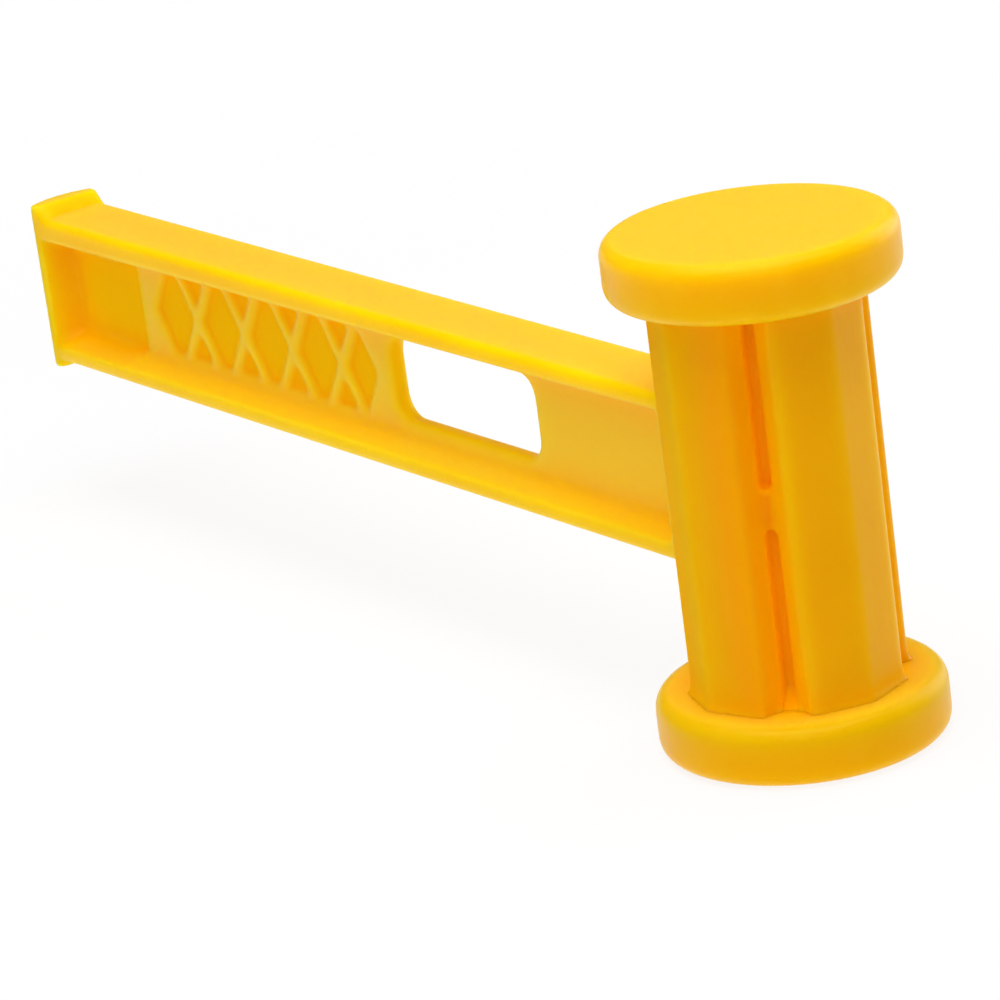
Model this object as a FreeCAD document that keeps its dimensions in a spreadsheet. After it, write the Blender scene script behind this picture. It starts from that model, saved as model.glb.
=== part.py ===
"""Moulded plastic camping mallet: two striking caps on a four-lobed core, and an I-section handle.

Millimetres. The origin is the centre of the lower striking face, +Z runs up the head to the upper
striking face, and the handle points along -X. The handle's web lies in the plane Y = 0.
"""
import FreeCAD
import Part

import math
import os

import Sketcher

# Driving dimensions: cell alias, value, meaning.
DIMENSIONS = [
    ("head_height", "109", "between the two striking faces"),
    ("cap_diameter", "60", "striking cap, across"),
    ("cap_thickness", "12.8", "striking cap, along the head"),
    ("face_edge_radius", "3.3", "rounding round a striking face"),
    ("back_edge_radius", "3.5", "rounding round the back of a cap"),
    ("spigot_diameter", "18", "press-fit spigot on each end of the core"),
    ("spigot_length", "7", "spigot, from the end of the core"),
    ("spigot_end_room", "0.8", "bore left empty past a spigot's end"),
    ("spigot_chamfer", "0.8", "lead-in on a spigot's end"),
    ("core_width", "46.6", "across the ridges of two opposite lobes of the core"),
    ("shoulder_reach", "22.2", "head axis to two lobes' shoulders, along their slot's depth"),
    ("valley_mouth", "9.8", "between the shoulders of two lobes"),
    ("valley_floor", "17.5", "head axis to the foot of the valley between two lobes"),
    ("slot_width", "2.6", "diagonal slot in the foot of a valley"),
    ("slot_floor", "12.5", "head axis to the floor of a slot"),
    ("ridge_radius", "3", "rounding of a lobe's ridge between its two flats"),
    ("shoulder_radius", "1.3", "rounding of a lobe's shoulder into its valley"),
    ("septum", "8", "bridge that closes the slots at mid-height"),
    ("slot_end_radius", "1", "rounding of a slot's end at the bridge"),
    ("handle_drop", "1.7", "handle's centre line below the head's mid-height"),
    ("handle_reach", "276.3", "head axis to the side corner of the handle's end"),
    ("end_bow", "2.2", "how far the handle's end bulges past its corners"),
    ("handle_width", "18", "across the flanges, along Y"),
    ("handle_depth", "36.6", "over both flanges, along Z"),
    ("low_flange", "3.9", "lower flange's thickness at its edge"),
    ("high_flange_near", "3.6", "upper flange's thickness at its edge, by the head"),
    ("high_flange_far", "5.6", "upper flange's thickness at its edge, at the handle's end"),
    ("flange_draft", "17", "slope of a flange's inside towards the web, degrees"),
    ("flange_edge_radius", "2", "rounding along the outside of a flange"),
    ("flange_lip_radius", "0.9", "rounding along the inside of a flange's edge"),
    ("web", "4.8", "web thickness at the window and the grip pattern"),
    ("thin_web", "2.4", "web thickness in the end pocket and the grip recesses"),
    ("web_root_radius", "2.6", "fillet between the web and the flanges"),
    ("end_plate", "2.6", "end plate at its edges, along X"),
    ("high_lip", "2.9", "upper end lip's height above the flange"),
    ("high_lip_run", "3", "how far the upper lip's inner side slopes back"),
    ("low_lip", "1.8", "lower end lip's height below the flange"),
    ("lip_plate", "3", "end lip's top, along X"),
    ("high_lip_foot", "2.2", "fillet at the foot of the upper lip"),
    ("low_lip_foot", "1", "fillet at the foot of the lower lip"),
    ("end_edge_radius", "1", "rounding of the end plate's outer edges"),
    ("root_face", "20.1", "head axis to the seat of the handle in the core"),
    ("root_block", "26.5", "head axis to the solid block at the handle's root"),
    ("tenon_width", "8", "tenon, along Y"),
    ("tenon_depth", "22", "tenon, along Z"),
    ("tenon_reach", "10.5", "head axis to the tenon's end"),
    ("window_near", "80.4", "head axis to the window's near end"),
    ("window_far", "134", "head axis to the window's far end"),
    ("window_depth", "18.9", "window, along Z"),
    ("window_lift", "0.8", "window's middle above the handle's centre line"),
    ("window_radius", "5", "window's corner radius"),
    ("window_rim_radius", "1.9", "rounding of the web's edge round the window"),
    ("grip_far", "239.5", "head axis to the grip pad's far end"),
    ("cross_first", "154.9", "head axis to the crossing nearest the window"),
    ("cross_pitch", "20.35", "from one crossing of the grip pattern to the next"),
    ("cross_last_gap", "16", "from that crossing to the half crossing beside the window"),
    ("rib_run", "8", "half the spread of a crossing's ribs over rib_rise"),
    ("rib_rise", "13", "height over which a rib runs out by rib_run"),
    ("rib_half", "1.8", "half a rib's width, measured along X"),
    ("recess_half", "10.4", "grip recess, from the handle's centre line to its end"),
]

GRIP_CROSSINGS = 4

doc = FreeCAD.newDocument("camping_mallet")
sheet = doc.addObject("Spreadsheet::Sheet", "Sizes")
for row, (alias, value, meaning) in enumerate(DIMENSIONS, start=1):
    sheet.set(f"A{row}", alias)
    sheet.set(f"B{row}", value)
    sheet.set(f"C{row}", meaning)
    sheet.setAlias(f"B{row}", alias)
doc.recompute()


def cell(expression):
    """Turns words of the sheet into an expression: every alias gets the sheet's name before it."""
    text = expression
    for alias in sorted((name for name, _, _ in DIMENSIONS), key=len, reverse=True):
        text = text.replace("{" + alias + "}", "Sizes." + alias)
    return text


def number(expression):
    """The value of an expression in the sheet's words."""
    return float(sheet.evalExpression(cell(expression)))


CENTRE = "({head_height} / 2 - {handle_drop})"
TOP = f"({CENTRE} + {{handle_depth}} / 2)"
BOTTOM = f"({CENTRE} - {{handle_depth}} / 2)"

# The core's two ends: name, level, and whether the core lies above the level.
ENDS = (("lower", "{cap_thickness}", True),
        ("upper", "({head_height} - {cap_thickness})", False))


def new_body(label):
    body = doc.addObject("PartDesign::Body", label)
    body.Label = label
    return body


def origin_plane(body, role):
    return next(item for item in body.Origin.OriginFeatures if item.Role == role)


def new_sketch(body, name, role, offset="0"):
    """A sketch on one of the body's own origin planes, moved along the plane's normal."""
    sketch = body.newObject("Sketcher::SketchObject", name)
    sketch.AttachmentSupport = [(origin_plane(body, role), "")]
    sketch.MapMode = "FlatFace"
    sketch.setExpression("AttachmentOffset.Base.z", cell(offset))
    return sketch


def pin(sketch, kind, target, expression):
    """One driving constraint from the sketch's origin or on a curve, bound to the sheet."""
    constraint = Sketcher.Constraint(kind, *target, number(expression))
    index = sketch.addConstraint(constraint)
    sketch.setExpression(f"Constraints[{index}]", cell(expression))


def add_outline(sketch, corners):
    """A closed outline of straight runs, whose corners are pairs of expressions."""
    first = sketch.GeometryCount
    points = [FreeCAD.Vector(number(along), number(up), 0) for along, up in corners]
    count = len(points)
    for step in range(count):
        sketch.addGeometry(Part.LineSegment(points[step], points[(step + 1) % count]))
    for step in range(count):
        following = first + (step + 1) % count
        sketch.addConstraint(Sketcher.Constraint("Coincident", first + step, 2, following, 1))
    for step, (along, up) in enumerate(corners):
        pin(sketch, "DistanceX", (-1, 1, first + step, 1), along)
        pin(sketch, "DistanceY", (-1, 1, first + step, 1), up)


def add_rectangle(sketch, left, right, low, high):
    add_outline(sketch, [(left, low), (right, low), (right, high), (left, high)])


def add_rounded_rectangle(sketch, left, right, low, high, radius):
    """Four straight sides joined by quarter arcs of one radius."""
    sides = [((f"{left} + {radius}", low), (f"{right} - {radius}", low)),
             ((right, f"{low} + {radius}"), (right, f"{high} - {radius}")),
             ((f"{right} - {radius}", high), (f"{left} + {radius}", high)),
             ((left, f"{high} - {radius}"), (left, f"{low} + {radius}"))]
    middles = [(f"{right} - {radius}", f"{low} + {radius}"),
               (f"{right} - {radius}", f"{high} - {radius}"),
               (f"{left} + {radius}", f"{high} - {radius}"),
               (f"{left} + {radius}", f"{low} + {radius}")]
    for side in sides:
        ends = [FreeCAD.Vector(number(along), number(up), 0) for along, up in side]
        index = sketch.addGeometry(Part.LineSegment(*ends))
        for end, (along, up) in enumerate(side, start=1):
            pin(sketch, "DistanceX", (-1, 1, index, end), along)
            pin(sketch, "DistanceY", (-1, 1, index, end), up)
    for corner, (along, up) in enumerate(middles):
        middle = FreeCAD.Vector(number(along), number(up), 0)
        circle = Part.Circle(middle, Z_AXIS, number(radius))
        start = math.radians(270 + 90 * corner)
        arc = sketch.addGeometry(Part.ArcOfCircle(circle, start, start + math.pi / 2))
        sketch.addConstraint(Sketcher.Constraint("Coincident", arc, 1, corner, 2))
        sketch.addConstraint(Sketcher.Constraint("Coincident", arc, 2, (corner + 1) % 4, 1))
        pin(sketch, "Radius", (arc,), radius)


def add_diamond(sketch, middle, half_wide, half_end, low, high):
    """A grip recess between two crossings, cut off square at both ends."""
    add_outline(sketch, [
        (f"{middle} - {half_wide}", CENTRE),
        (f"{middle} - {half_end}", low), (f"{middle} + {half_end}", low),
        (f"{middle} + {half_wide}", CENTRE),
        (f"{middle} + {half_end}", high), (f"{middle} - {half_end}", high)])


def add_circle(sketch, diameter):
    """A circle about the sketch's origin."""
    radius = f"{diameter} / 2"
    circle = Part.Circle(FreeCAD.Vector(0, 0, 0), FreeCAD.Vector(0, 0, 1), number(radius))
    index = sketch.addGeometry(circle)
    sketch.addConstraint(Sketcher.Constraint("Coincident", index, 3, -1, 1))
    pin(sketch, "Radius", (index,), radius)


def pad(body, name, sketch, length, both_ways=False, backwards=False):
    feature = body.newObject("PartDesign::Pad", name)
    feature.Profile = sketch
    feature.setExpression("Length", cell(length))
    feature.Midplane = both_ways
    feature.Reversed = backwards
    doc.recompute()
    return feature


def pocket(body, name, sketch, depth, both_ways=False, backwards=False, draft=None):
    """A pocket, narrowing by a draft angle if one is given, that is checked to remove material."""
    before = body.Shape.Volume
    feature = body.newObject("PartDesign::Pocket", name)
    feature.Profile = sketch
    feature.setExpression("Length", cell(depth))
    if draft:
        feature.setExpression("TaperAngle", cell(draft))
    feature.Midplane = both_ways
    feature.Reversed = backwards
    doc.recompute()
    if not body.Shape.Volume < before:
        raise RuntimeError(f"{name} cuts nothing")
    return feature


def mirror_across_web(body, name, features):
    """The same features on the other side of the plane Y = 0."""
    mirror = body.newObject("PartDesign::Mirrored", name)
    mirror.Originals = features
    mirror.MirrorPlane = (origin_plane(body, "XZ_Plane"), [""])
    body.Tip = mirror
    doc.recompute()
    return mirror


def four_round_head(body, name, features):
    """The same features at every quarter turn about the head's axis."""
    pattern = body.newObject("PartDesign::PolarPattern", name)
    pattern.Originals = features
    pattern.Axis = (origin_plane(body, "Z_Axis"), [""])
    pattern.Angle = 360
    pattern.Occurrences = 4
    body.Tip = pattern
    doc.recompute()
    return pattern


def round_edges(body, name, base, radius, wanted):
    """Fillets the edges of base for which wanted(edge) is true."""
    edges = [f"Edge{i}" for i, edge in enumerate(base.Shape.Edges, start=1) if wanted(edge)]
    if not edges:
        raise RuntimeError(f"{name} finds no edge")
    fillet = body.newObject("PartDesign::Fillet", name)
    fillet.Base = (base, edges)
    fillet.setExpression("Radius", cell(radius))
    doc.recompute()
    return fillet


def near(value, target, slack=0.02):
    return abs(value - target) < slack


def centre_of(edge):
    return edge.CenterOfMass


def runs_along(edge, axis):
    """True for a straight edge parallel to axis."""
    if edge.Curve.TypeId != "Part::GeomLine":
        return False
    direction = edge.Curve.Direction
    return near(abs(direction.dot(axis)), 1, 1e-4)


def offset_from(edge, way):
    """How far, seen from above, an edge lies to the side of the line through the head's axis."""
    centre = centre_of(edge)
    return centre.x * way.y - centre.y * way.x


X_AXIS = FreeCAD.Vector(1, 0, 0)
Y_AXIS = FreeCAD.Vector(0, 1, 0)
Z_AXIS = FreeCAD.Vector(0, 0, 1)


def is_ring(edge, radius, height):
    """True for a full circle of that radius at that height."""
    if edge.Curve.TypeId != "Part::GeomCircle":
        return False
    return near(edge.Curve.Radius, radius) and near(centre_of(edge).z, height)


def make_cap(label):
    """A striking cap with its face at Z = 0 and a blind bore for the core's spigot in its back."""
    body = new_body(label)
    disc = new_sketch(body, label + "_disc_outline", "XY_Plane")
    add_circle(disc, "{cap_diameter}")
    solid = pad(body, label + "_disc", disc, "{cap_thickness}")
    cap_radius = number("{cap_diameter} / 2")
    back = number("{cap_thickness}")
    solid = round_edges(body, label + "_face_edge", solid, "{face_edge_radius}",
                        lambda edge: is_ring(edge, cap_radius, 0))
    round_edges(body, label + "_back_edge", solid, "{back_edge_radius}",
                lambda edge: is_ring(edge, cap_radius, back))
    bore = new_sketch(body, label + "_bore_outline", "XY_Plane", "{cap_thickness}")
    add_circle(bore, "{spigot_diameter}")
    pocket(body, label + "_bore", bore, "{spigot_length} + {spigot_end_room}")
    return body


def make_core():
    """The four-lobed column between the caps, its slots closed by a bridge at mid-height."""
    body = new_body("head_core")
    length = "({head_height} - 2 * {cap_thickness})"
    half_open = f"(({length} - {{septum}}) / 2)"
    half_slot = "({slot_width} / 2)"

    turn = FreeCAD.Rotation(Z_AXIS, 45)
    ridge = "({core_width} / 2 / sqrt(2))"
    shoulder = ("{shoulder_reach}", "({valley_mouth} / 2)")
    column = new_sketch(body, "core_outline", "XY_Plane", "{cap_thickness}")
    corners = []
    for along, across in ((1, 1), (-1, 1), (-1, -1), (1, -1)):
        quarter = [(shoulder[0], shoulder[1]), (ridge, ridge), (shoulder[1], shoulder[0])]
        if along * across < 0:
            quarter.reverse()
        corners += [(f"{along} * {x}", f"{across} * {y}") for x, y in quarter]
    add_outline(column, corners)
    column.AttachmentOffset = FreeCAD.Placement(column.AttachmentOffset.Base, turn)
    pad(body, "core_column", column, length)

    valley_sketch = new_sketch(body, "valley_outline", "XY_Plane", "{cap_thickness}")
    spread = f"(({shoulder[1]} - {half_slot}) / ({{shoulder_reach}} - {{valley_floor}}))"
    past = f"({shoulder[1]} + {spread})"
    outside = "({shoulder_reach} + 1)"
    add_outline(valley_sketch, [("{valley_floor}", f"-{half_slot}"), (outside, f"-{past}"),
                                (outside, past), ("{valley_floor}", half_slot)])
    valley_sketch.AttachmentOffset = FreeCAD.Placement(valley_sketch.AttachmentOffset.Base, turn)
    valley = pocket(body, "valley", valley_sketch, length, backwards=True)
    solid = four_round_head(body, "valleys", [valley])

    shoulder_radius = math.hypot(number(shoulder[0]), number(shoulder[1]))
    for name, radius, distance in (
            ("ridges", "{ridge_radius}", number("{core_width} / 2")),
            ("shoulders", "{shoulder_radius}", shoulder_radius)):
        solid = round_edges(
            body, name, solid, radius,
            lambda edge: runs_along(edge, Z_AXIS)
            and near(math.hypot(centre_of(edge).x, centre_of(edge).y), distance))

    slots = []
    for end, level, upwards in ENDS:
        sketch = new_sketch(body, end + "_slot_outline", "XY_Plane", level)
        add_rectangle(sketch, "{slot_floor}", "{core_width}", f"-{half_slot}", half_slot)
        sketch.AttachmentOffset = FreeCAD.Placement(sketch.AttachmentOffset.Base, turn)
        slots.append(pocket(body, end + "_slot", sketch, half_open, backwards=upwards))
    solid = four_round_head(body, "slots", slots)

    slot_ends = [number(f"{{cap_thickness}} + {half_open}"),
                 number(f"{{head_height}} - {{cap_thickness}} - {half_open}")]
    diagonals = (FreeCAD.Vector(1, 1, 0).normalize(), FreeCAD.Vector(1, -1, 0).normalize())
    slot_side = number(half_slot)
    round_edges(
        body, "slot_ends", solid, "{slot_end_radius}",
        lambda edge: any(runs_along(edge, way) and near(abs(offset_from(edge, way)), slot_side)
                         for way in diagonals)
        and any(near(centre_of(edge).z, level) for level in slot_ends))

    for end, level, downwards in ENDS:
        sketch = new_sketch(body, end + "_spigot_outline", "XY_Plane", level)
        add_circle(sketch, "{spigot_diameter}")
        solid = pad(body, end + "_spigot", sketch, "{spigot_length}", backwards=downwards)
    spigot_radius = number("{spigot_diameter} / 2")
    spigot_ends = [number("{cap_thickness} - {spigot_length}"),
                   number("{head_height} - {cap_thickness} + {spigot_length}")]
    lead_in = body.newObject("PartDesign::Chamfer", "spigot_lead_in")
    rings = [f"Edge{i}" for i, edge in enumerate(solid.Shape.Edges, start=1)
             if any(is_ring(edge, spigot_radius, level) for level in spigot_ends)]
    lead_in.Base = (solid, rings)
    lead_in.setExpression("Size", cell("{spigot_chamfer}"))
    doc.recompute()

    seat = new_sketch(body, "handle_seat_outline", "XZ_Plane")
    add_rectangle(seat, "-{core_width}", "-{root_face}", BOTTOM, TOP)
    pocket(body, "handle_seat", seat, "2 * {core_width}", both_ways=True)
    socket = new_sketch(body, "tenon_socket_outline", "XZ_Plane")
    add_rectangle(socket, "-{core_width}", "-{tenon_reach}",
                  f"{CENTRE} - {{tenon_depth}} / 2", f"{CENTRE} + {{tenon_depth}} / 2")
    pocket(body, "tenon_socket", socket, "{tenon_width}", both_ways=True)
    return body


def make_handle():
    """The I-section handle: flanges, web, window, grip pattern, end plate with lips, and tenon."""
    body = new_body("handle")
    lip_top = f"({TOP} + {{high_lip}})"
    lip_low = f"({BOTTOM} - {{low_lip}})"
    lip_side = "(-{handle_reach} + {lip_plate})"
    ramp_foot = f"({lip_side} + {{high_lip_run}})"

    side = new_sketch(body, "handle_outline", "XZ_Plane")
    far = "-({handle_reach} + {end_bow})"
    add_outline(side, [
        (far, lip_low), (lip_side, lip_low), (lip_side, BOTTOM), ("-{root_face}", BOTTOM),
        ("-{root_face}", TOP), (ramp_foot, TOP), (lip_side, lip_top), (far, lip_top)])
    solid = pad(body, "handle_blank", side, "{handle_width}", both_ways=True)

    for name, radius, foot, foot_level in (
            ("high_lip_foot", "{high_lip_foot}", number(ramp_foot), number(TOP)),
            ("low_lip_foot", "{low_lip_foot}", number(lip_side), number(BOTTOM))):
        solid = round_edges(
            body, name, solid, radius,
            lambda edge: runs_along(edge, Y_AXIS) and near(centre_of(edge).x, foot)
            and near(centre_of(edge).z, foot_level))

    bow = new_sketch(body, "end_bow_outline", "XY_Plane", lip_low)
    half_width = "({handle_width} / 2)"
    bow_radius = f"({half_width} ^ 2 / (2 * {{end_bow}}) + {{end_bow}} / 2)"
    outside = "-({handle_reach} + 4 * {end_bow})"
    corners = [("-{handle_reach}", half_width), (outside, half_width),
               (outside, f"-{half_width}"), ("-{handle_reach}", f"-{half_width}")]
    points = [FreeCAD.Vector(number(along), number(across), 0) for along, across in corners]
    crest = FreeCAD.Vector(-number("{handle_reach} + {end_bow}"), 0, 0)
    for step in range(3):
        bow.addGeometry(Part.LineSegment(points[step], points[step + 1]))
        pin(bow, "DistanceX", (-1, 1, step, 1), corners[step][0])
        pin(bow, "DistanceY", (-1, 1, step, 1), corners[step][1])
    pin(bow, "DistanceX", (-1, 1, 2, 2), corners[3][0])
    pin(bow, "DistanceY", (-1, 1, 2, 2), corners[3][1])
    arc = bow.addGeometry(Part.Arc(points[0], crest, points[3]))
    for step in range(2):
        bow.addConstraint(Sketcher.Constraint("Coincident", step, 2, step + 1, 1))
    bow.addConstraint(Sketcher.Constraint("Coincident", arc, 1, 0, 1))
    bow.addConstraint(Sketcher.Constraint("Coincident", arc, 2, 2, 2))
    pin(bow, "Radius", (arc,), bow_radius)
    pocket(body, "end_bow", bow, f"{lip_top} - {lip_low}", backwards=True)

    beam_side = "{handle_width} / 2"
    plate = "(-{handle_reach} + {end_plate})"
    recess_low = f"({BOTTOM} + {{low_flange}})"
    high_far = f"({TOP} - {{high_flange_far}})"
    high_near = f"({TOP} - {{high_flange_near}})"
    recess = new_sketch(body, "recess_outline", "XZ_Plane", beam_side)
    add_outline(recess, [(plate, recess_low), ("-{root_block}", recess_low),
                         ("-{root_block}", high_near), (plate, high_far)])
    recess_cut = pocket(body, "recess", recess, "({handle_width} - {web}) / 2",
                        draft="-{flange_draft}")
    solid = mirror_across_web(body, "recesses", [recess_cut])
    web_face = number("{web} / 2")
    solid = round_edges(body, "web_roots", solid, "{web_root_radius}",
                        lambda edge: near(abs(centre_of(edge).y), web_face))

    rise = "(({handle_width} - {web}) / 2 * tan({flange_draft} * 1deg))"
    far_slope = f"(({high_near} - {high_far}) / (-{{root_block}} - {plate}))"
    high_there = f"({high_far} - (({plate} + {{grip_far}}) * {far_slope}))"
    end_pocket = new_sketch(body, "end_pocket_outline", "XZ_Plane", beam_side)
    add_outline(end_pocket, [
        (f"{plate} + {rise}", f"{recess_low} + {rise}"), ("-{grip_far}", f"{recess_low} + {rise}"),
        ("-{grip_far}", f"{high_there} - {rise}"), (f"{plate} + {rise}", f"{high_far} - {rise}")])
    end_cut = pocket(body, "end_pocket", end_pocket, "({handle_width} - {thin_web}) / 2")
    solid = mirror_across_web(body, "end_pockets", [end_cut])

    window = new_sketch(body, "window_outline", "XZ_Plane")
    window_middle = f"({CENTRE} + {{window_lift}})"
    window_low = f"({window_middle} - {{window_depth}} / 2)"
    add_rounded_rectangle(window, "-{window_far}", "-{window_near}", window_low,
                          f"({window_middle} + {{window_depth}} / 2)", "{window_radius}")
    solid = pocket(body, "window", window, "{handle_width}", both_ways=True)
    sill = number(window_low)
    solid = round_edges(body, "window_rim", solid, "{window_rim_radius}",
                        lambda edge: runs_along(edge, X_AXIS) and near(centre_of(edge).z, sill)
                        and near(abs(centre_of(edge).y), web_face))

    beam_face = number(beam_side)
    beam_levels = (number(TOP), number(BOTTOM))
    solid = round_edges(
        body, "flange_edges", solid, "{flange_edge_radius}",
        lambda edge: runs_along(edge, X_AXIS) and near(abs(centre_of(edge).y), beam_face)
        and any(near(centre_of(edge).z, level) for level in beam_levels))
    lip_levels = (number(lip_top), number(lip_low))
    end_corner = -number("{handle_reach}")
    solid = round_edges(
        body, "end_plate_edges", solid, "{end_edge_radius}",
        lambda edge: any(near(centre_of(edge).z, level) for level in lip_levels)
        or (runs_along(edge, Z_AXIS) and near(centre_of(edge).x, end_corner)))
    mouth_low = number(recess_low)
    mouth_high = number(high_near)
    round_edges(
        body, "flange_lips", solid, "{flange_lip_radius}",
        lambda edge: near(abs(centre_of(edge).y), beam_face)
        and mouth_low - 0.02 < centre_of(edge).z < mouth_high + 0.02
        and runs_along(edge, X_AXIS))

    low = f"({CENTRE} - {{recess_half}})"
    high = f"({CENTRE} + {{recess_half}})"
    grip = new_sketch(body, "grip_outline", "XZ_Plane", beam_side)
    rib_spread = "({rib_run} * {recess_half} / {rib_rise})"
    for step in range(GRIP_CROSSINGS):
        crossing = f"(-{{cross_first}} - {step} * {{cross_pitch}})"
        for way, end in ((1, high), (-1, low)):
            apex = f"({CENTRE} + {way} * {{rib_half}} * {{rib_rise}} / {{rib_run}})"
            add_outline(grip, [
                (crossing, apex),
                (f"{crossing} + {rib_spread} - {{rib_half}}", end),
                (f"{crossing} - {rib_spread} + {{rib_half}}", end)])
        add_diamond(grip, f"({crossing} - {{cross_pitch}} / 2)", "({cross_pitch} / 2 - {rib_half})",
                    f"({{cross_pitch}} / 2 - {{rib_half}} - {rib_spread})", low, high)
    beside_window = "(-{cross_first} + {cross_last_gap} / 2)"
    narrow_half = "({cross_last_gap} / 2 - {rib_half})"
    narrow_rise = f"({narrow_half} * {{rib_rise}} / {{rib_run}})"
    add_outline(grip, [
        (f"{beside_window} - {narrow_half}", CENTRE), (beside_window, f"{CENTRE} - {narrow_rise}"),
        (f"{beside_window} + {narrow_half}", CENTRE), (beside_window, f"{CENTRE} + {narrow_rise}")])
    grip_cut = pocket(body, "grip_recesses", grip, "({handle_width} - {thin_web}) / 2")
    mirror_across_web(body, "far_side_grip", [grip_cut])

    tenon = new_sketch(body, "tenon_outline", "XZ_Plane")
    add_rectangle(tenon, "-{root_block}", "-{tenon_reach}",
                  f"{CENTRE} - {{tenon_depth}} / 2", f"{CENTRE} + {{tenon_depth}} / 2")
    pad(body, "tenon", tenon, "{tenon_width}", both_ways=True)
    return body


SUB_PARTS = [make_cap("lower_striking_cap"), make_cap("upper_striking_cap"), make_core(),
             make_handle()]
SUB_PARTS[1].Placement = FreeCAD.Placement(
    FreeCAD.Vector(0, 0, number("{head_height}")), FreeCAD.Rotation(X_AXIS, 180))
doc.recompute()

failed = [item.Name for item in doc.Objects if {"Invalid", "Error"} & set(item.State)]
if failed:
    raise RuntimeError("failed objects: " + ", ".join(failed))
for sub_part in SUB_PARTS:
    if sub_part.Shape.isNull() or not sub_part.Shape.isValid():
        raise RuntimeError(sub_part.Label + " has no valid shape")

os.makedirs("parts", exist_ok=True)
for sub_part in SUB_PARTS:
    sub_part.Shape.exportStep(f"parts/{sub_part.Label}.step")
    box = sub_part.Shape.BoundBox
    print(f"{sub_part.Label}: {sub_part.Shape.Volume / 1000:.2f} cm3, "
          f"X {box.XMin:.1f}..{box.XMax:.1f}, Y {box.YMin:.1f}..{box.YMax:.1f}, "
          f"Z {box.ZMin:.1f}..{box.ZMax:.1f}, solids {len(sub_part.Shape.Solids)}")
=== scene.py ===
"""Moulded yellow camping mallet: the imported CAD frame, its finish, a pale floor and soft light."""

import math

import bmesh
import bpy
from mathutils import Matrix, Vector


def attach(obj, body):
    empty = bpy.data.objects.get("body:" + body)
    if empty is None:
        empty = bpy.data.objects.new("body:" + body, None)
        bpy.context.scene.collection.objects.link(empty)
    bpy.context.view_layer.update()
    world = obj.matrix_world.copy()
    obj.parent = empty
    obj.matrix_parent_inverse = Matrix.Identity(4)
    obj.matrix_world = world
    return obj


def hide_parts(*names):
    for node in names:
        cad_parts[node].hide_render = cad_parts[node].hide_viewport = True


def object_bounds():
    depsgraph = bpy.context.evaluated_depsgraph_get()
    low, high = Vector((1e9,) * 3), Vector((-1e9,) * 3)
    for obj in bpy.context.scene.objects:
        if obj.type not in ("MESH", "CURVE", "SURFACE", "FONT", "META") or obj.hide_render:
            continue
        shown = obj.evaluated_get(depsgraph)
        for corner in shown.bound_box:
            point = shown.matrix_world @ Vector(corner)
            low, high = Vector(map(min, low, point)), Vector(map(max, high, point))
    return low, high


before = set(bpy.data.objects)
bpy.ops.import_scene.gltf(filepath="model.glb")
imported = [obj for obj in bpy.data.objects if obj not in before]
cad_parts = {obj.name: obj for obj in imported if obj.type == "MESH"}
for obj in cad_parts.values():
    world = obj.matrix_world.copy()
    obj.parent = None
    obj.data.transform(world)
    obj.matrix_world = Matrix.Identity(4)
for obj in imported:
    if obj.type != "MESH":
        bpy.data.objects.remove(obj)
cad_low, cad_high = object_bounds()

MM = 0.001
HEAD_MIDDLE = Vector((0.0, 0.0, (cad_low.z + cad_high.z) / 2))
HANDLE_MIDDLE = HEAD_MIDDLE.z - 1.7 * MM

# The view: bearings in degrees, lengths in metres.
CAMERA_BEARING = 33.28
CAMERA_RISE = 18.475
CAMERA_ROLL = -7.737
CAMERA_DISTANCE = 1.0031
AIM_RIGHT = 0.05566
AIM_UP = 0.0035
LENS_MM = 180.03
SENSOR_MM = 36.0
CLIP_START = 0.05
CLIP_END = 20.0

# The plastic's colours, linear RGB: each moulding's own, the lower cap's a darker copy as painted
# shade; then the painted highlights of the faces that look up, of the edges and of the grip's ribs.
UPPER_CAP_YELLOW = (0.86, 0.475, 0.0)
# Painted shade: the lower cap gets a darker copy of the caps' yellow, as it gets less light.
LOWER_CAP_SHADED_YELLOW = (0.77, 0.455, 0.0)
CORE_YELLOW = (0.87, 0.44, 0.0)
HANDLE_YELLOW = (0.95, 0.52, 0.0)
CAP_TOP_HIGHLIGHT = (0.88, 0.51, 0.018)
HANDLE_TOP_HIGHLIGHT = (0.93, 0.49, 0.022)
EDGE_HIGHLIGHT = (1.0, 0.70, 0.14)
RIB_HIGHLIGHT = (0.98, 0.58, 0.015)

# Painted shade and glow: the oranges painted where walls stand close together and pass light on to
# each other, the weak painted glow that stands for that light, and how near the walls have to be.
RECESS_SHADE_ORANGE = (0.97, 0.45, 0.0)
VALLEY_GLOW_ORANGE = (1.0, 0.33, 0.0)
SHELTER_SHADE_ORANGE = (1.0, 0.45, 0.0)
GLOW_ORANGE = (1.0, 0.58, 0.0)
PASSED_ON = 0.095
GLOW_REACH = 16 * MM

# Gloss: roughness, specular level and specular tint.
SATIN = (0.27, 0.39)
MATT = 0.85
CAP_SHEEN = 0.16
CORE_SHEEN = 0.12
HANDLE_SHEEN = 0.1
SHEEN_TINT = (1.0, 0.8, 0.3)
IOR = 1.46

# How far red light travels under the surface, and each colour's share of it.
SCATTER = 11 * MM
SCATTER_SHARES = (1.0, 0.8, 0.03)
FOOT_SCATTER = SCATTER / 8

# Noise, as scale per metre and detail: soft clouds of tint and of gloss, flow streaks, fine grain
# and slight waviness.
TINT_CLOUDS = (38, 3)
GLOSS_CLOUDS = (260, 4)
STREAKS = (170, 4, 0.6)
GRAIN = (1500, 3, 0.6)
WAVES = (95, 2)
GRAIN_BUMP = (0.08, 0.05 * MM)
WAVES_BUMP = (0.12, 0.25 * MM)

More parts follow.
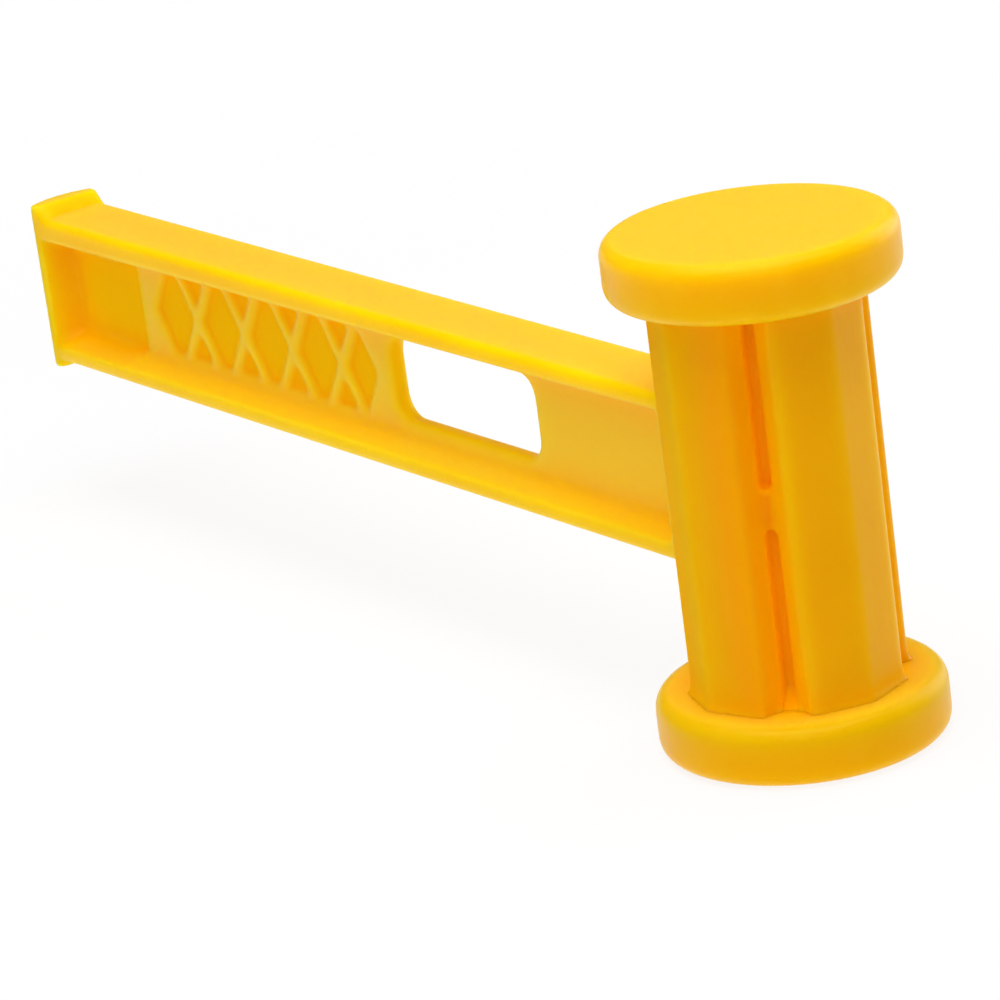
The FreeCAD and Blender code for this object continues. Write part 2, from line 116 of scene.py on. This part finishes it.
# How the clouds and streaks change the red and green of the plastic, and the noise they span.
CLOUD_SPAN = (0.35, 0.65)
CLOUD_DARK = (0.985, 0.965)
CLOUD_LIGHT = (1.01, 1.03)
STREAK_SPAN = (0.5, 0.75)
STREAK_LIGHT = (1.04, 1.09)
STREAK_BLUE = 0.006
STREAK_SHARE = 0.5
EDGE_SHARE = 0.5

# How the streaks are stretched, along the way the mould filled.
EVERY_WAY = (1, 1, 1)
ALONG_HEAD = (1, 1, 0.1)
ALONG_HANDLE = (0.15, 1, 1)

# Ranges that a node spans: how open a point is, how pointed an edge is, how far a face looks up.
OPENNESS = (0.30, 0.92)
POINTEDNESS = (0.52, 0.60)
LOOKING_UP = (0.9, 0.99)

# Places where the finish, the painted highlights, the painted shade and the painted glow change,
# metres. Distances off the handle's middle plane and height:
RIB_HEIGHT = (1.35 * MM, 2.3 * MM)
RECESS_HEIGHT = (1.4 * MM, 2.0 * MM)
FLANGE_ROOTS = (13 * MM, 15 * MM)
# X, the far end of the ribs and the near end of the recesses:
RIBS_END = (-244 * MM, -242 * MM)
RECESSES_END = (-143 * MM, -139 * MM)
# On the column: into a side lobe from its valley, along X, and up or down from its middle.
VALLEY_FADE = (1 * MM, 18 * MM)
SIDE_LOBES = (-1.5 * MM, -0.5 * MM)
FRONT_GLOSS = (3 * MM, 12 * MM)
COLUMN_FOOT = (34 * MM, 41 * MM)
# Height above the floor:
OFF_FLOOR = (2 * MM, 8 * MM)

# Voxel of each moulding's even mesh, and the smoothing passes that round its edges.
HANDLE_MESH = (0.65 * MM, 2)
CORE_MESH = (0.6 * MM, 3)
CAP_MESH = (0.8 * MM, 3)

# Further smoothing passes, and where they fade in: metres from the middle planes and along the
# handle.
GRIP_PASSES = 13
POCKET_PASSES = 120
SLOT_PASSES = 34
GRIP_DEPTH = (8.2 * MM, 6.5 * MM)
GRIP_NEAR = (24 * MM, 30 * MM)
GRIP_FAR = (272 * MM, 268 * MM)
POCKET_DEPTH = (8.6 * MM, 7.0 * MM)
POCKET_HEIGHT = (15.5 * MM, 13.5 * MM)
POCKET_NEAR = (243 * MM, 250 * MM)
POCKET_FAR = (275.5 * MM, 274 * MM)
SLOT_ENDS = (41 * MM, 38 * MM)
SLOT_SHOULDERS = (16.5 * MM, 18.5 * MM)
# Degrees from the middle of a valley.
VALLEY_MIDDLE = 45
VALLEY_WIDTH = (24, 16)

# The bead where the grip pattern ends.
BEAD_EDGE = 239.5 * MM
BEAD_HALF = 1.3 * MM
BEAD_RISE = 0.9 * MM
BEAD_DEPTH = (6 * MM, 3 * MM)

# The column's ends.
CAP_THICKNESS = 12.8 * MM
SEAT_SLACK = 0.2 * MM
FOOT_FLARE = 1.0 * MM
FOOT_SINK = 0.5 * MM
SPIGOT_RADIUS = 9.6 * MM
SLOT_FILL_RUN = 3.5 * MM
SLOT_FILL_OUT = 19.5 * MM

# The light box: the floor glows more brightly far from the mallet than under it.
FLOOR_HALF = 12.0
FLOOR_STEPS = 24
FLOOR_GAP = 0.1 * MM
FLOOR_GREY = 0.12
NEAR_GLOW = 0.85
FAR_GLOW = 0.97
GLOW_RADII = (0.4, 1.6)
WORLD_STRENGTH = 0.13

# Name, bearing and rise in degrees, distance and size in metres, watts.
LAMPS = (
    ("overhead", -60, 82, 1.4, (1.4, 1.4), 26.5),
    ("far_side", 96, 12, 1.1, (0.7, 1.2), 6),
    ("front_fill", -42, 32, 1.3, (0.5, 0.5), 2.4),
    ("left_fill", -115, 25, 1.3, (0.9, 0.9), 1),
)


def make_camera():
    bearing = math.radians(CAMERA_BEARING)
    rise = math.radians(CAMERA_RISE)
    back = Vector((math.cos(rise) * math.cos(bearing), -math.cos(rise) * math.sin(bearing),
                   math.sin(rise)))
    level_right = (-back).cross(Vector((0, 0, 1))).normalized()
    level_up = level_right.cross(-back)
    roll = math.radians(CAMERA_ROLL)
    right = math.cos(roll) * level_right + math.sin(roll) * level_up
    up = -math.sin(roll) * level_right + math.cos(roll) * level_up
    data = bpy.data.cameras.new("camera")
    data.lens = LENS_MM
    data.sensor_width = SENSOR_MM
    data.clip_start = CLIP_START
    data.clip_end = CLIP_END
    camera = bpy.data.objects.new("camera", data)
    place = HEAD_MIDDLE + back * CAMERA_DISTANCE - right * AIM_RIGHT - up * AIM_UP
    turn = Matrix((right, up, back)).transposed()
    camera.matrix_world = Matrix.Translation(place) @ turn.to_4x4()
    bpy.context.scene.collection.objects.link(camera)
    bpy.context.scene.camera = camera


def softened(node_name, piece_name, voxel, passes, softer=()):
    """A copy of a CAD node as one evenly meshed skin, its edges rounded as a mould leaves them.

    softer: further smoothing, as pairs of passes and a weight from 0 to 1 at a point.
    """
    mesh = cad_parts[node_name].data.copy()
    mesh.materials.clear()
    piece = bpy.data.objects.new(piece_name, mesh)
    bpy.context.scene.collection.objects.link(piece)
    skin = bmesh.new()
    skin.from_mesh(mesh)
    bmesh.ops.remove_doubles(skin, verts=skin.verts, dist=1e-6)
    skin.to_mesh(mesh)
    skin.free()
    remesh = piece.modifiers.new("even_mesh", "REMESH")
    remesh.mode = "VOXEL"
    remesh.voxel_size = voxel
    bake_modifiers(piece)
    add_smoothing(piece, "soft_edges", passes)
    for number, (more, weight) in enumerate(softer):
        group = piece.vertex_groups.new(name=f"softer_{number}")
        for vertex in piece.data.vertices:
            share = weight(vertex.co)
            if share > 0:
                group.add([vertex.index], min(share, 1.0), "REPLACE")
        add_smoothing(piece, group.name, more, group.name)
    bake_modifiers(piece)
    piece.vertex_groups.clear()
    return piece


def add_smoothing(piece, name, passes, group=""):
    smooth = piece.modifiers.new(name, "SMOOTH")
    smooth.factor = 0.5
    smooth.iterations = passes
    smooth.vertex_group = group


def bake_modifiers(piece):
    """Makes the shape that the modifiers give the piece's own mesh."""
    graph = bpy.context.evaluated_depsgraph_get()
    shaped = bpy.data.meshes.new_from_object(piece.evaluated_get(graph))
    piece.modifiers.clear()
    piece.data = shaped
    shaped.name = piece.name
    shaped.polygons.foreach_set("use_smooth", [True] * len(shaped.polygons))


def fade(value, start, end):
    """From 0 at start to 1 at end, smoothly."""
    share = min(max((value - start) / (end - start), 0.0), 1.0)
    return share * share * (3 - 2 * share)


def in_grip(point):
    """The web's faces and their roots, between the flanges."""
    inside = fade(abs(point.y), *GRIP_DEPTH)
    return inside * fade(-point.x, *GRIP_NEAR) * fade(-point.x, *GRIP_FAR)


def in_end_pocket(point):
    """The corners of the pocket beside the end plate."""
    inside = fade(abs(point.y), *POCKET_DEPTH)
    level = fade(abs(point.z - HANDLE_MIDDLE), *POCKET_HEIGHT)
    return inside * level * fade(-point.x, *POCKET_NEAR) * fade(-point.x, *POCKET_FAR)


def beside_slots(point):
    """The lobes' shoulders and the walls of their valleys."""
    bearing = math.degrees(math.atan2(point.y, point.x)) % 90
    out = math.hypot(point.x, point.y)
    ends = fade(abs(point.z - HEAD_MIDDLE.z), *SLOT_ENDS)
    return ends * fade(out, *SLOT_SHOULDERS) * fade(abs(bearing - VALLEY_MIDDLE), *VALLEY_WIDTH)


def raise_bead(handle):
    """A low rounded bead across the web where the grip pattern ends, on both sides."""
    for vertex in handle.data.vertices:
        along = abs(vertex.co.x + BEAD_EDGE + BEAD_HALF / 2) / BEAD_HALF
        off_middle = abs(vertex.co.y)
        if along < 1 and off_middle < BEAD_DEPTH[0]:
            crown = math.cos(along * math.pi / 2) ** 2
            rise = BEAD_RISE * crown * fade(off_middle, *BEAD_DEPTH)
            vertex.co.y += math.copysign(rise, vertex.co.y)


def flare_feet(core):
    """Widens the column into each cap by a small cove, and closes the slots' last millimetres."""
    half_column = HEAD_MIDDLE.z - CAP_THICKNESS
    for vertex in core.data.vertices:
        gap = half_column - abs(vertex.co.z - HEAD_MIDDLE.z)
        out = Vector((vertex.co.x, vertex.co.y, 0))
        if SPIGOT_RADIUS < out.length < SLOT_FILL_OUT and -SEAT_SLACK < gap < SLOT_FILL_RUN:
            share = 1 - max(gap, 0) / SLOT_FILL_RUN
            vertex.co += out.normalized() * (SLOT_FILL_OUT - out.length) * share * share
            out = Vector((vertex.co.x, vertex.co.y, 0))
        if -SEAT_SLACK < gap < FOOT_FLARE + FOOT_SINK and out.length > SPIGOT_RADIUS:
            left = min(FOOT_FLARE + FOOT_SINK - gap, FOOT_FLARE)
            cove = FOOT_FLARE - math.sqrt(max(FOOT_FLARE ** 2 - left ** 2, 0))
            vertex.co += out.normalized() * cove
            outwards = 1 if vertex.co.z > HEAD_MIDDLE.z else -1
            vertex.co.z += outwards * FOOT_SINK * left / FOOT_FLARE


def moulded_plastic(name, colour, top_highlight, sheen, flow, lateral_glow=False, rib_highlight=False):
    """Satin-gloss, faintly translucent injection-moulded plastic.

    top_highlight: the colour of faces that look up, paler and bluer: a painted highlight from the
    light above.
    flow: how the surface's faint streaks are stretched, along the way the mould filled.
    lateral_glow: a painted orange glow on the column's two side lobes, towards their valleys.
    rib_highlight: a painted highlight on the grip's ribs, and painted shade in the recesses between
    them.
    """
    material = bpy.data.materials.new(name)
    material.use_nodes = True
    nodes = material.node_tree.nodes
    links = material.node_tree.links
    shader = nodes["Principled BSDF"]
    place = nodes.new("ShaderNodeTexCoord")

    filled = nodes.new("ShaderNodeMapping")
    filled.inputs["Scale"].default_value = flow
    links.new(place.outputs["Object"], filled.inputs["Vector"])

    def noise(source, scale, detail, rough=0.5):
        node = nodes.new("ShaderNodeTexNoise")
        node.inputs["Scale"].default_value = scale
        node.inputs["Detail"].default_value = detail
        node.inputs["Roughness"].default_value = rough
        links.new(source, node.inputs["Vector"])
        return node.outputs["Fac"]

    def span(source, low, high, from_low=0.0, from_high=1.0):
        node = nodes.new("ShaderNodeMapRange")
        node.inputs["From Min"].default_value = from_low
        node.inputs["From Max"].default_value = from_high
        node.inputs["To Min"].default_value = low
        node.inputs["To Max"].default_value = high
        links.new(source, node.inputs["Value"])
        return node.outputs["Result"]

    def combine(operation, first, second=None):
        node = nodes.new("ShaderNodeMath")
        node.operation = operation
        links.new(first, node.inputs[0])
        if isinstance(second, float):
            node.inputs[1].default_value = second
        elif second:
            links.new(second, node.inputs[1])
        return node.outputs["Value"]

    def blend(share, first, second):
        node = nodes.new("ShaderNodeMix")
        node.data_type = "RGBA"
        links.new(share, node.inputs["Factor"])
        for socket, value in ((node.inputs[6], first), (node.inputs[7], second)):
            if isinstance(value, tuple):
                socket.default_value = (*value, 1)
            else:
                links.new(value, socket)
        return node.outputs[2]

    def bump(height, strength, distance, under=None):
        node = nodes.new("ShaderNodeBump")
        node.inputs["Strength"].default_value = strength
        node.inputs["Distance"].default_value = distance
        links.new(height, node.inputs["Height"])
        if under:
            links.new(under, node.inputs["Normal"])
        return node.outputs["Normal"]

    def parts_of(vector):
        node = nodes.new("ShaderNodeSeparateXYZ")
        links.new(vector, node.inputs[0])
        return node.outputs["X"], node.outputs["Y"], node.outputs["Z"]

    def away_from(source, middle):
        return combine("ABSOLUTE", combine("SUBTRACT", source, middle))

    def shade(gains, blue):
        return min(colour[0] * gains[0], 1), colour[1] * gains[1], blue

    point = place.outputs["Object"]
    tint = blend(span(noise(point, *TINT_CLOUDS), 0, 1, *CLOUD_SPAN),
                 shade(CLOUD_DARK, colour[2]), shade(CLOUD_LIGHT, colour[2]))
    streaks = span(noise(filled.outputs["Vector"], *STREAKS), 0, STREAK_SHARE, *STREAK_SPAN)
    tint = blend(streaks, tint, shade(STREAK_LIGHT, STREAK_BLUE))
    roughness = span(noise(point, *GLOSS_CLOUDS), *SATIN)

    surface = nodes.new("ShaderNodeNewGeometry")
    # Painted highlight: pointed edges are painted paler, as if catching the light.
    edges = span(surface.outputs["Pointiness"], 0, EDGE_SHARE, *POINTEDNESS)
    tint = blend(edges, tint, EDGE_HIGHLIGHT)
    # Painted highlight: faces that look up are painted paler and bluer, for the light from above.
    upwards = parts_of(surface.outputs["Normal"])[2]
    tint = blend(span(upwards, 0, 1, *LOOKING_UP), tint, top_highlight)

    x, y, z = parts_of(point)
    # Painted highlight on the raised ribs, painted shade in the recesses between them.
    if rib_highlight:
        off_middle = combine("ABSOLUTE", y)
        between_flanges = span(away_from(z, HANDLE_MIDDLE), 1, 0, *FLANGE_ROOTS)
        raised = combine("MULTIPLY", between_flanges,
                         combine("MULTIPLY", span(off_middle, 0, 1, *RIB_HEIGHT),
                                 span(x, 0, 1, *RIBS_END)))
        tint = blend(raised, tint, RIB_HIGHLIGHT)
        # Painted shade: the recesses are painted a deeper orange.
        sunken = combine("MULTIPLY", between_flanges,
                         combine("MULTIPLY", span(off_middle, 1, 0, *RECESS_HEIGHT),
                                 span(x, 1, 0, *RECESSES_END)))
        tint = blend(sunken, tint, RECESS_SHADE_ORANGE)
        roughness = combine("MAXIMUM", roughness, span(sunken, 0, MATT))
    if lateral_glow:
        # Painted glow: the side lobes are painted orange towards their valleys, for light passed
        # through the plastic.
        aside = combine("SUBTRACT", combine("ABSOLUTE", y), combine("ABSOLUTE", x))
        towards_valley = combine("MULTIPLY", span(aside, 1, 0, *VALLEY_FADE),
                                 span(aside, 0, 1, *SIDE_LOBES))
        tint = blend(towards_valley, tint, VALLEY_GLOW_ORANGE)
        roughness = combine("MAXIMUM", roughness, span(x, MATT, 0, *FRONT_GLOSS))

    # Painted shade and glow: sheltered places are painted orange and given a weak orange glow for
    # the light their walls pass on to each other, but not where only the floor shelters them.
    shelter = nodes.new("ShaderNodeAmbientOcclusion")
    shelter.samples = 12
    shelter.inputs["Distance"].default_value = GLOW_REACH
    glow = span(shelter.outputs["AO"], 1, 0, *OPENNESS)
    links.new(blend(glow, tint, SHELTER_SHADE_ORANGE), shader.inputs["Base Color"])
    links.new(combine("MULTIPLY", glow, span(z, 0, PASSED_ON, *OFF_FLOOR)),
              shader.inputs["Emission Strength"])
    shader.inputs["Emission Color"].default_value = (*GLOW_ORANGE, 1)

    links.new(roughness, shader.inputs["Roughness"])
    fine = bump(noise(point, *GRAIN), *GRAIN_BUMP)
    links.new(bump(noise(point, *WAVES), *WAVES_BUMP, fine), shader.inputs["Normal"])
    shader.inputs["IOR"].default_value = IOR
    shader.inputs["Specular IOR Level"].default_value = sheen
    shader.inputs["Specular Tint"].default_value = (*SHEEN_TINT, 1)
    shader.inputs["Subsurface Weight"].default_value = 1.0
    shader.inputs["Subsurface Radius"].default_value = SCATTER_SHARES
    shader.inputs["Subsurface Scale"].default_value = SCATTER
    if lateral_glow:
        links.new(span(away_from(z, HEAD_MIDDLE.z), SCATTER, FOOT_SCATTER, *COLUMN_FOOT),
                  shader.inputs["Subsurface Scale"])
    return material


def make_floor():
    """A wide pale sheet under the mallet."""
    grid = bmesh.new()
    bmesh.ops.create_grid(grid, x_segments=FLOOR_STEPS, y_segments=FLOOR_STEPS, size=FLOOR_HALF)
    mesh = bpy.data.meshes.new("floor")
    grid.to_mesh(mesh)
    grid.free()
    floor = bpy.data.objects.new("floor", mesh)
    floor.location = (0, 0, cad_low.z - FLOOR_GAP)
    bpy.context.scene.collection.objects.link(floor)
    material = bpy.data.materials.new("floor_white")
    material.use_nodes = True
    nodes = material.node_tree.nodes
    links = material.node_tree.links
    shader = nodes["Principled BSDF"]
    shader.inputs["Base Color"].default_value = (FLOOR_GREY, FLOOR_GREY, FLOOR_GREY, 1)
    shader.inputs["Roughness"].default_value = 0.9
    shader.inputs["Specular IOR Level"].default_value = 0.1
    shader.inputs["Emission Color"].default_value = (1, 1, 1, 1)
    place = nodes.new("ShaderNodeTexCoord")
    away = nodes.new("ShaderNodeVectorMath")
    away.operation = "LENGTH"
    links.new(place.outputs["Object"], away.inputs[0])
    glow = nodes.new("ShaderNodeMapRange")
    glow.inputs["From Min"].default_value, glow.inputs["From Max"].default_value = GLOW_RADII
    glow.inputs["To Min"].default_value = NEAR_GLOW
    glow.inputs["To Max"].default_value = FAR_GLOW
    links.new(away.outputs["Value"], glow.inputs["Value"])
    links.new(glow.outputs["Result"], shader.inputs["Emission Strength"])
    mesh.materials.append(material)


def make_area(name, bearing, rise, distance, size, watts):
    """A soft box at that bearing and rise, in degrees, aimed at the head's middle."""
    turn = math.radians(bearing)
    lift = math.radians(rise)
    away = Vector((math.cos(lift) * math.cos(turn), math.cos(lift) * math.sin(turn),
                   math.sin(lift)))
    data = bpy.data.lights.new(name, "AREA")
    data.shape = "RECTANGLE"
    data.size, data.size_y = size
    data.energy = watts
    lamp = bpy.data.objects.new(name, data)
    lamp.location = HEAD_MIDDLE + away * distance
    lamp.rotation_euler = away.to_track_quat("Z", "Y").to_euler()
    bpy.context.scene.collection.objects.link(lamp)


def make_world():
    world = bpy.data.worlds.new("world")
    bpy.context.scene.world = world
    world.use_nodes = True
    background = world.node_tree.nodes["Background"]
    background.inputs["Color"].default_value = (1, 1, 1, 1)
    background.inputs["Strength"].default_value = WORLD_STRENGTH
    bpy.context.scene.view_settings.view_transform = "Standard"


make_camera()
make_floor()
for lamp in LAMPS:
    make_area(*lamp)
make_world()

lower_cap_plastic = moulded_plastic("lower_cap_plastic", LOWER_CAP_SHADED_YELLOW, CAP_TOP_HIGHLIGHT, CAP_SHEEN,
                                    EVERY_WAY)
upper_cap_plastic = moulded_plastic("upper_cap_plastic", UPPER_CAP_YELLOW, CAP_TOP_HIGHLIGHT, CAP_SHEEN,
                                    EVERY_WAY)
core_plastic = moulded_plastic("core_plastic", CORE_YELLOW, CAP_TOP_HIGHLIGHT, CORE_SHEEN,
                               ALONG_HEAD, lateral_glow=True)
handle_plastic = moulded_plastic("handle_plastic", HANDLE_YELLOW, HANDLE_TOP_HIGHLIGHT, HANDLE_SHEEN,
                                 ALONG_HANDLE, rib_highlight=True)

handle = softened("handle", "handle_moulding", *HANDLE_MESH,
                  [(GRIP_PASSES, in_grip), (POCKET_PASSES, in_end_pocket)])
raise_bead(handle)
core = softened("head_core", "core_moulding", *CORE_MESH, [(SLOT_PASSES, beside_slots)])
flare_feet(core)
lower_cap = softened("lower_striking_cap", "lower_cap_moulding", *CAP_MESH)
upper_cap = softened("upper_striking_cap", "upper_cap_moulding", *CAP_MESH)
for piece, node_name, material, slot in (
        (handle, "handle", handle_plastic, "handle_plastic"),
        (core, "head_core", core_plastic, "core_plastic"),
        (lower_cap, "lower_striking_cap", lower_cap_plastic, "cap_plastic"),
        (upper_cap, "upper_striking_cap", upper_cap_plastic, "cap_plastic")):
    piece.data.materials.append(material)
    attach(piece, "root")
    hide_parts(node_name)
